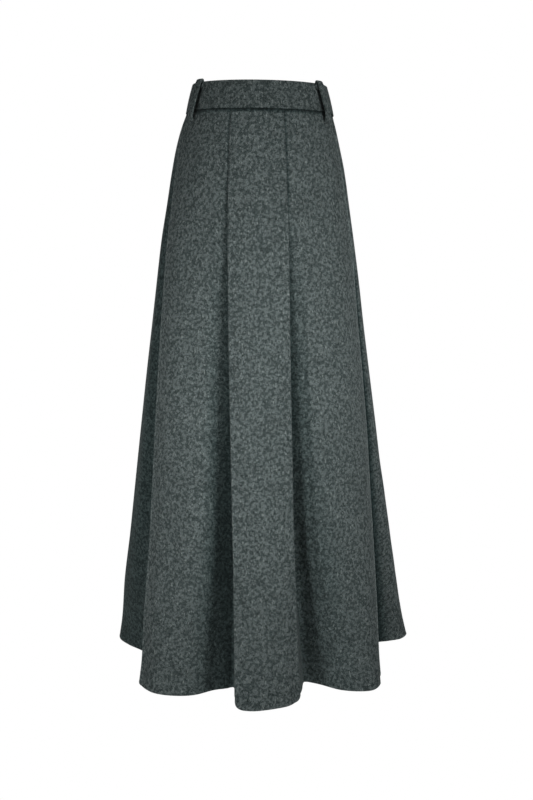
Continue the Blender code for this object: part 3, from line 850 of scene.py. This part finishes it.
class Finish:
    """A new material, with short ways to add the nodes of its pattern."""

    def __init__(self, name):
        self.material = bpy.data.materials.new(name)
        self.material.use_nodes = True
        self.nodes, self.links = self.material.node_tree.nodes, self.material.node_tree.links
        self.shader = self.nodes["Principled BSDF"]
        self.coordinates = self.nodes.new("ShaderNodeTexCoord").outputs["Object"]

    def feed(self, socket, value):
        """Link another node's output to a socket, or set the socket to a number or a colour."""
        if isinstance(value, bpy.types.NodeSocket):
            self.links.new(value, socket)
        else:
            socket.default_value = (*value, 1.0) if isinstance(value, tuple) else value

    def mix(self, low, high, share):
        node = self.nodes.new("ShaderNodeMix")
        node.data_type = "RGBA"
        for name, value in (("A", low), ("B", high), ("Factor", share)):
            self.feed(node.inputs[name], value)
        return node.outputs["Result"]

    def maths(self, operation, *values):
        node = self.nodes.new("ShaderNodeMath")
        node.operation = operation
        for socket, value in zip(node.inputs, values):
            self.feed(socket, value)
        return node.outputs["Value"]

    def ramp(self, value, low, high):
        """A smooth rise from 0 to 1 as the value goes from low to high."""
        node = self.nodes.new("ShaderNodeMapRange")
        node.interpolation_type = "SMOOTHSTEP"
        for name, source in (("Value", value), ("From Min", low), ("From Max", high)):
            self.feed(node.inputs[name], source)
        return node.outputs["Result"]

    def noise(self, grain):
        mapping = self.nodes.new("ShaderNodeMapping")
        mapping.inputs["Scale"].default_value = grain.stretch
        mapping.inputs["Rotation"].default_value = [radians(angle) for angle in grain.turn]
        self.links.new(self.coordinates, mapping.inputs["Vector"])
        texture = self.nodes.new("ShaderNodeTexNoise")
        texture.inputs["Scale"].default_value = grain.scale
        texture.inputs["Detail"].default_value = grain.detail
        texture.inputs["Distortion"].default_value = grain.distortion
        self.links.new(mapping.outputs["Vector"], texture.inputs["Vector"])
        return texture.outputs["Fac"]

    def mask(self, grain):
        return self.ramp(self.noise(grain), grain.low, grain.high)

    def curls(self, grain):
        """Thin curled lines where a noise crosses its middle value, as felted fibres curl."""
        away = self.maths("ABSOLUTE", self.maths("SUBTRACT", self.noise(grain), 0.5))
        return self.maths("SUBTRACT", 1.0, self.ramp(away, grain.low, grain.high))

    def bump(self, height, strength, distance):
        node = self.nodes.new("ShaderNodeBump")
        for name, value in (("Height", height), ("Strength", strength), ("Distance", distance)):
            self.feed(node.inputs[name], value)
        self.links.new(node.outputs["Normal"], self.shader.inputs["Normal"])

    def surface(self, colour, values):
        self.feed(self.shader.inputs["Base Color"], colour)
        for name, value in values.items():
            self.feed(self.shader.inputs[name], value)


def colour_with_painted_light(finish, colour):
    """The colour under the painted shade and highlights of the tone attribute: darker, and cooler where it
    is darkest.
    """
    node = finish.nodes.new("ShaderNodeAttribute")
    node.attribute_name = "tone"
    tone = node.outputs["Fac"]
    cooling = finish.maths("POWER", finish.maths("MINIMUM", tone, 1.0), SHADE_COOLING)
    shares = finish.nodes.new("ShaderNodeCombineXYZ")
    for name, share in (("X", finish.maths("MULTIPLY", tone, cooling)), ("Y", tone), ("Z", tone)):
        finish.links.new(share, shares.inputs[name])
    multiply = finish.nodes.new("ShaderNodeVectorMath")
    multiply.operation = "MULTIPLY"
    finish.links.new(colour, multiply.inputs[0])
    finish.links.new(shares.outputs["Vector"], multiply.inputs[1])
    return multiply.outputs["Vector"]


def flannel(name, settings, tone=1.0):
    """Felted melange flannel: a mottled ground, curled light fibres, dark pits and stray hairs."""
    finish = Finish(name)
    wools = (settings.wool_dark, settings.wool_middle, settings.wool_light)
    # A tone below 1 makes a darker copy of the flannel: painted shade on the band and the loops
    dark, middle, light = [tuple(channel * tone for channel in wool) for wool in wools]
    ground = finish.noise(GROUND)
    colour = finish.mix(dark, middle, finish.ramp(ground, GROUND.low, GROUND.high))
    curls = finish.maths("MAXIMUM", *[finish.curls(grain) for grain in CURLS])
    fibres = finish.maths("MULTIPLY", curls, finish.mask(BREAKS))
    colour = finish.mix(colour, light, finish.maths("MULTIPLY", fibres, FIBRE_COVER))
    hairs = finish.maths("MAXIMUM", *[finish.mask(grain) for grain in HAIRS])
    colour = finish.mix(colour, tuple(settings.hair_colour), finish.maths("MULTIPLY", hairs, HAIR_COVER))
    patches = finish.maths("MULTIPLY_ADD", finish.mask(PATCHES), *PATCH_SHADE)
    cloud = finish.maths("MULTIPLY_ADD", finish.noise(CLOUD), *CLOUD_SHADE)
    colour = finish.mix((0.0, 0.0, 0.0), colour, finish.maths("MULTIPLY", patches, cloud))
    relief = finish.maths("ADD", finish.maths("MULTIPLY", ground, GROUND_RELIEF), fibres)
    finish.bump(relief, *FLANNEL_RELIEF)
    finish.surface(colour_with_painted_light(finish, colour), FLANNEL_NAP)
    return finish.material


def plain_material(name, colour, roughness, sheen=0.0):
    """A fine even weave in one colour, for tape and thread."""
    finish = Finish(name)
    weave = finish.noise(WEAVE)
    low, high = [tuple(channel * share for channel in colour) for share in WEAVE_TONES]
    finish.bump(weave, *WEAVE_RELIEF)
    finish.surface(finish.mix(low, high, weave), {"Roughness": roughness, "Sheen Weight": sheen})
    return finish.material


def length_setting(name, description, default):
    return bpy.props.FloatProperty(
        name=name, description=description, default=default, unit="LENGTH", precision=4)


def share_setting(name, description, default):
    return bpy.props.FloatProperty(
        name=name, description=description, default=default, subtype="FACTOR", min=0.0, max=1.0)


def colour_setting(name, description, default):
    return bpy.props.FloatVectorProperty(
        name=name, description=description, default=default, subtype="COLOR", size=3)


class SkirtSettings(bpy.types.PropertyGroup):
    cloth_wall: length_setting("Cloth", "Thickness of the flannel", 0.0022)
    hem_wall: length_setting("Hem", "Thickness of the turned-up hem", 0.0040)
    turn_up: length_setting("Turn-up", "Height of the turned-up hem", 0.040)
    hem_round: length_setting("Hem rounding", "Height of the hem's rounded edge", 0.0016)
    seam_roll: length_setting("Seam roll", "How far from a seam its edge turns in", 0.0022)
    fold_start: length_setting("Fold start", "Length over which a released pleat folds", 0.045)
    fold_lap: length_setting("Fold lap", "Height of a pressed fold over the cloth beneath", 0.0054)
    tuck: length_setting("Tuck", "How far the cloth runs on beneath a fold's edge", 0.0060)
    stitch_dent: length_setting("Stitched dent", "Depth of the line where a pleat is stitched", 0.0015)
    column_width: length_setting("Column width", "Width of the mesh's columns at the hem", 0.0060)
    rows: bpy.props.IntProperty(name="Rows", description="Rows of the mesh from band to hem", default=150)
    hem_steps: bpy.props.IntProperty(name="Hem steps", description="Steps round the hem's edge", default=6)
    seam_tone: share_setting("Seam tone", "Share of the brightness left in a side or back seam", 0.45)
    # Painted shadow: the share of the brightness left on the skirt under the band
    under_band_shadow: share_setting("Band seam tone", "Share of the brightness left under the band", 0.12)
    wool_dark: colour_setting("Wool dark", "Colour in the pits of the flannel", (0.014, 0.022, 0.022))
    wool_middle: colour_setting("Wool", "Main colour of the flannel", (0.060, 0.077, 0.076))
    wool_light: colour_setting("Wool fibre", "Colour of the light curled fibres", (0.205, 0.243, 0.240))
    hair_colour: colour_setting("Hair", "Colour of the stray hairs", (0.30, 0.34, 0.33))
    tape_colour: colour_setting("Tape", "Colour of the zip tape", (0.020, 0.024, 0.024))
    thread_colour: colour_setting("Thread", "Colour of the sewing thread", (0.022, 0.029, 0.029))
    key_power: bpy.props.FloatProperty(
        name="Key light", description="Power of the large front light", default=222.0, unit="POWER")
    world_strength: share_setting("Surroundings", "Strength of the white surroundings", 0.12)


class SKIRT_OT_cloth(bpy.types.Operator):
    """Build the front and the two back pieces of the skirt"""
    bl_idname = "skirt.cloth"
    bl_label = "Skirt Cloth"

    def execute(self, context):
        settings = context.scene.skirt_settings
        material = flannel("wool flannel", settings)
        rings, (centre, left, right, end) = skirt_rings(settings)
        cuts = (
            ("skirt_back_left", centre, left, (0.520, 0.900), 0.275),
            ("skirt_front", left, right, (1.020, 0.900), 0.560),
            ("skirt_back_right", right, end, (0.520, 0.900), 0.280),
        )
        for node, start, finish, flat, area in cuts:
            columns = piece_columns(start, finish)
            sections = [skirt_station(place, start, finish, rings, settings) for place in columns]
            stations, tones = zip(*sections)
            piece = lofted(node + "_cloth", stations, tones)
            piece.data.materials.append(material)
            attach(piece, "root")
            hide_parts(node)
        return {"FINISHED"}


def rim_bend(angle):
    """How far a rounded edge comes in from the band's edge and from its face, at an angle."""
    return BAND_RIM * (1.0 - sin(angle)), BAND_RIM * (1.0 - cos(angle))


def band_station(azimuth, share):
    """Closed section of the waistband: two soft pressed edges and a slightly full face."""
    profile = []
    bottom = BAND_BOTTOM + seam_rise(azimuth)
    height = BAND_TOP - bottom
    for step in range(BAND_STEPS + 1):
        place = step / BAND_STEPS
        z = BAND_TOP - BAND_RIM - place * (height - 2.0 * BAND_RIM)
        profile.append((z, -BAND_FULLNESS[0] - BAND_FULLNESS[1] * sin(pi * place)))
    for step in range(1, RIM_STEPS):
        rise, depth = rim_bend(0.5 * pi * step / RIM_STEPS)
        profile.append((bottom + rise, depth))
    corner = BAND_WALL - BAND_RIM
    bevel = 0.3 * BAND_RIM
    profile += [(bottom, BAND_RIM), (bottom, corner), (bottom + BAND_RIM, BAND_WALL)]
    profile += [(BAND_TOP - BAND_RIM, BAND_WALL), (BAND_TOP - bevel, BAND_WALL - bevel)]
    profile += [(BAND_TOP, corner), (BAND_TOP, BAND_RIM)]
    for step in range(CROWN_STEPS - 1, 0, -1):
        fall, depth = rim_bend(0.5 * pi * step / CROWN_STEPS)
        profile.append((BAND_TOP - fall, depth))
    station = []
    for z, depth in profile:
        depth = blend(0.5 * BAND_WALL, depth, share)
        point, _, _ = beside_oval(azimuth, *band_oval(z), -depth)
        station.append(Vector((*point, z)))
    return station


def painted_band_shade(z, azimuth):
    """Painted shade on the band where its lower edge rolls in over the seam."""
    dark, height = BAND_SHADE
    bottom = BAND_BOTTOM + seam_rise(azimuth)
    return blend(dark, 1.0, smoothstep(z, bottom, bottom + height))


class SKIRT_OT_waistband(bpy.types.Operator):
    """Build the waistband, whose ends meet at centre back"""
    bl_idname = "skirt.waistband"
    bl_label = "Waistband"

    def execute(self, context):
        settings = context.scene.skirt_settings
        last = BAND_END - TAPER_TURN
        places = [(-BAND_END + turn, share) for turn, share in END_TAPER]
        places += [(blend(-last, last, step / BAND_COLUMNS), 1.0) for step in range(BAND_COLUMNS + 1)]
        places += [(BAND_END - turn, share) for turn, share in reversed(END_TAPER)]
        stations = [band_station(*place) for place in places]
        tones = []
        for station, (turn, _) in zip(stations, places):
            tones.append([painted_band_shade(point.z, turn) for point in station])
        piece = lofted("waistband_cloth", stations, tones)
        piece.data.materials.append(flannel("band flannel", settings, BAND_SHADED_COPY))
        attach(piece, "root")
        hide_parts("waistband")
        return {"FINISHED"}


def loop_line(loop):
    """Middle line of a belt loop: points on a smooth curve through its bends."""
    bends = [Vector((bend.offset, bend.z)) for bend in LOOP_BENDS]
    bends = bends[:1] + bends + bends[-1:]
    line = []
    for before, here, there, after in zip(bends, bends[1:], bends[2:], bends[3:]):
        slope_in, slope_out = 0.5 * (there - before), 0.5 * (after - here)
        line += [hermite(here, there, slope_in, slope_out, step / BEND_STEPS) for step in range(BEND_STEPS)]
    line.append(bends[-1])
    points = []
    for offset, z in line:
        azimuth = blend(loop.high, loop.low, (line[0][1] - z) / (line[0][1] - line[-1][1]))
        drop = max(SKIRT_TOP - z, 0.0)
        drop += seam_rise(azimuth, drop)
        carrier = band_oval(z) if z > BAND_BOTTOM else Oval(drop).axes(azimuth)
        point, _, _ = beside_oval(azimuth, *carrier, offset)
        points.append(Vector((*point, z)))
    return points


def loop_station(point, along, outward, share):
    """Closed section of a loop: a soft strip, a little fuller in its middle than at its edges."""
    wide, thick = LOOP_SQUARENESS
    station = []
    for step in range(LOOP_SIDES):
        angle = 2.0 * pi * step / LOOP_SIDES
        across = max(-1.0, min(1.0, wide * cos(angle)))
        depth = max(-1.0, min(1.0, thick * sin(angle))) * (1.0 - LOOP_THINNING * across ** 2)
        station.append(point + along * across * LOOP_HALF_WIDTH + outward * depth * LOOP_HALF_WALL * share)
    return station


class SKIRT_OT_belt_loops(bpy.types.Operator):
    """Build the four belt loops"""
    bl_idname = "skirt.belt_loops"
    bl_label = "Belt Loops"

    def execute(self, context):
        settings = context.scene.skirt_settings
        material = flannel("loop flannel", settings, LOOP_SHADED_COPY)
        for loop in LOOPS:
            line = loop_line(loop)
            _, along, _ = beside_oval(0.5 * (loop.high + loop.low), *band_oval(0.0), 0.0)
            along = Vector((*along, 0.0))
            stations = []
            for index, point in enumerate(line):
                ahead = line[min(index + 1, len(line) - 1)] - line[max(index - 1, 0)]
                outward = along.cross(ahead).normalized()
                from_end = min(index, len(line) - 1 - index)
                share = LOOP_ENDS[from_end] if from_end < len(LOOP_ENDS) else 1.0
                stations.append(loop_station(point, along, outward, share))
            node = "belt_loop_" + loop.place
            piece = lofted(node + "_cloth", stations)
            piece.data.materials.append(material)
            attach(piece, "root")
            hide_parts(node)
        return {"FINISHED"}


class SKIRT_OT_zip(bpy.types.Operator):
    """Give the closed zip its woven tape finish"""
    bl_idname = "skirt.zip"
    bl_label = "Back Zip"

    def execute(self, context):
        settings = context.scene.skirt_settings
        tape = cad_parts["back_zip"]
        tape.data.materials.clear()
        tape.data.materials.append(plain_material("zip tape", tuple(settings.tape_colour), 0.8, 0.1))
        return {"FINISHED"}


class SKIRT_OT_stitches(bpy.types.Operator):
    """Sew the stitches that hold each pleat shut below the band"""
    bl_idname = "skirt.stitches"
    bl_label = "Pleat Stitches"

    def execute(self, context):
        settings = context.scene.skirt_settings
        builder = bmesh.new()
        for pleat in PLEATS:
            row = int((pleat.release - ROW_END) / STITCH_PITCH)
            tack = int(TACK_LENGTH / STITCH_PITCH)
            places = [(step, STITCH_BESIDE) for step in range(row)]
            places += [(row + step - tack + 0.5, TACK_BESIDE) for step in range(tack)]
            for step, beside in places:
                drop = STITCH_START + STITCH_PITCH * step
                azimuth = edge_at(pleat, drop)
                point, along, outward = beside_oval(azimuth, *Oval(drop).axes(azimuth), 0.0)
                lift = crease_height(azimuth, drop, point.length) + STITCH_LIFT * THREAD
                place = point - along * toward_bottom(pleat) * beside + outward * lift
                matrix = Matrix.Translation(leaned((*place, SKIRT_TOP - drop + seam_rise(azimuth, drop))))
                matrix @= Matrix.Diagonal((1.0, 1.0, STITCH_HALF_LENGTH / THREAD, 1.0))
                bmesh.ops.create_icosphere(builder, subdivisions=1, radius=THREAD, matrix=matrix)
        piece = object_from(builder, "pleat_stitches")
        piece.data.materials.append(plain_material("sewing thread", tuple(settings.thread_colour), 0.7))
        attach(piece, "root")
        return {"FINISHED"}


class SKIRT_OT_stage(bpy.types.Operator):
    """Set the pale floor, the soft studio light and the camera"""
    bl_idname = "skirt.stage"
    bl_label = "Stage"

    def execute(self, context):
        settings = context.scene.skirt_settings
        builder = bmesh.new()
        bmesh.ops.create_grid(builder, x_segments=1, y_segments=1, size=FLOOR_HALF)
        bmesh.ops.translate(builder, verts=builder.verts, vec=(0.0, 0.0, HEM_LEVEL - FLOOR_DROP))
        floor = object_from(builder, "floor")
        floor.data.materials.append(floor_material())
        floor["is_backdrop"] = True
        for lamp in LAMPS:
            add_soft_spot(lamp, settings.key_power * lamp.share)
        set_world(settings.world_strength)
        add_camera()
        context.scene.view_settings.view_transform = "Standard"
        return {"FINISHED"}


def floor_material():
    """A white that stays white, with no shadow on it."""
    finish = Finish("pale floor")
    glow = {"Emission Color": WHITE, "Emission Strength": 1.0}
    finish.surface(PALE, {"Roughness": 1.0, "Specular IOR Level": 0.0, **glow})
    return finish.material


def add_soft_spot(lamp, power):
    """A large soft lamp whose light fades smoothly toward the rim of its cone."""
    light = bpy.data.lights.new(lamp.name, "SPOT")
    light.shadow_soft_size = lamp.radius
    light.spot_size = radians(lamp.cone)
    light.spot_blend = 1.0
    light.energy = power
    stand = bpy.data.objects.new(lamp.name, light)
    stand.location = lamp.place
    aim = Vector(lamp.target) - Vector(lamp.place)
    stand.rotation_euler = aim.to_track_quat("-Z", "Y").to_euler()
    bpy.context.collection.objects.link(stand)


def set_world(strength):
    """White surroundings that light the cloth softly and show as a white backdrop."""
    world = bpy.data.worlds.new("white surroundings")
    world.use_nodes = True
    nodes, links = world.node_tree.nodes, world.node_tree.links
    soft = nodes["Background"]
    soft.inputs["Color"].default_value = (*WHITE, 1.0)
    soft.inputs["Strength"].default_value = strength
    backdrop = nodes.new("ShaderNodeBackground")
    mix = nodes.new("ShaderNodeMixShader")
    links.new(nodes.new("ShaderNodeLightPath").outputs["Is Camera Ray"], mix.inputs["Fac"])
    links.new(soft.outputs["Background"], mix.inputs[1])
    links.new(backdrop.outputs["Background"], mix.inputs[2])
    backdrop.inputs["Color"].default_value = (*WHITE, 1.0)
    links.new(mix.outputs["Shader"], nodes["World Output"].inputs["Surface"])
    bpy.context.scene.world = world


def add_camera():
    """The photo's view: a little below the waist, tilted down to the level hem."""
    camera = bpy.data.cameras.new("camera")
    camera.sensor_width = SENSOR
    camera.lens = FOCAL_PIXELS * SENSOR / FRAME_HEIGHT
    viewer = bpy.data.objects.new("camera", camera)
    viewer.location = CAMERA_PLACE
    viewer.rotation_euler = (radians(CAMERA_TURN), 0.0, 0.0)
    bpy.context.collection.objects.link(viewer)
    bpy.context.scene.camera = viewer


class SKIRT_PT_build(bpy.types.Panel):
    """Lists the steps that build the skirt"""
    bl_idname = "SKIRT_PT_build"
    bl_label = "Pleated Midi Skirt"
    bl_space_type = "VIEW_3D"
    bl_region_type = "UI"
    bl_category = "Skirt"

    def draw(self, context):
        for name in BUILD_STEPS:
            self.layout.operator("skirt." + name)
        for prop in SkirtSettings.__annotations__:
            self.layout.prop(context.scene.skirt_settings, prop)


BUILD_STEPS = ("cloth", "waistband", "belt_loops", "zip", "stitches", "stage")
CLASSES = (
    SkirtSettings,
    SKIRT_OT_cloth,
    SKIRT_OT_waistband,
    SKIRT_OT_belt_loops,
    SKIRT_OT_zip,
    SKIRT_OT_stitches,
    SKIRT_OT_stage,
    SKIRT_PT_build,
)


def register():
    for item in CLASSES:
        bpy.utils.register_class(item)
    bpy.types.Scene.skirt_settings = bpy.props.PointerProperty(type=SkirtSettings)


def unregister():
    del bpy.types.Scene.skirt_settings
    for item in reversed(CLASSES):
        bpy.utils.unregister_class(item)


def main():
    register()
    for name in BUILD_STEPS:
        getattr(bpy.ops.skirt, name)()
    boxes = {"cad": CAD_BOX, "visual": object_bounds()}
    boxes = {name: [list(corner) for corner in box] for name, box in boxes.items()}


if __name__ == "__main__":
    main()
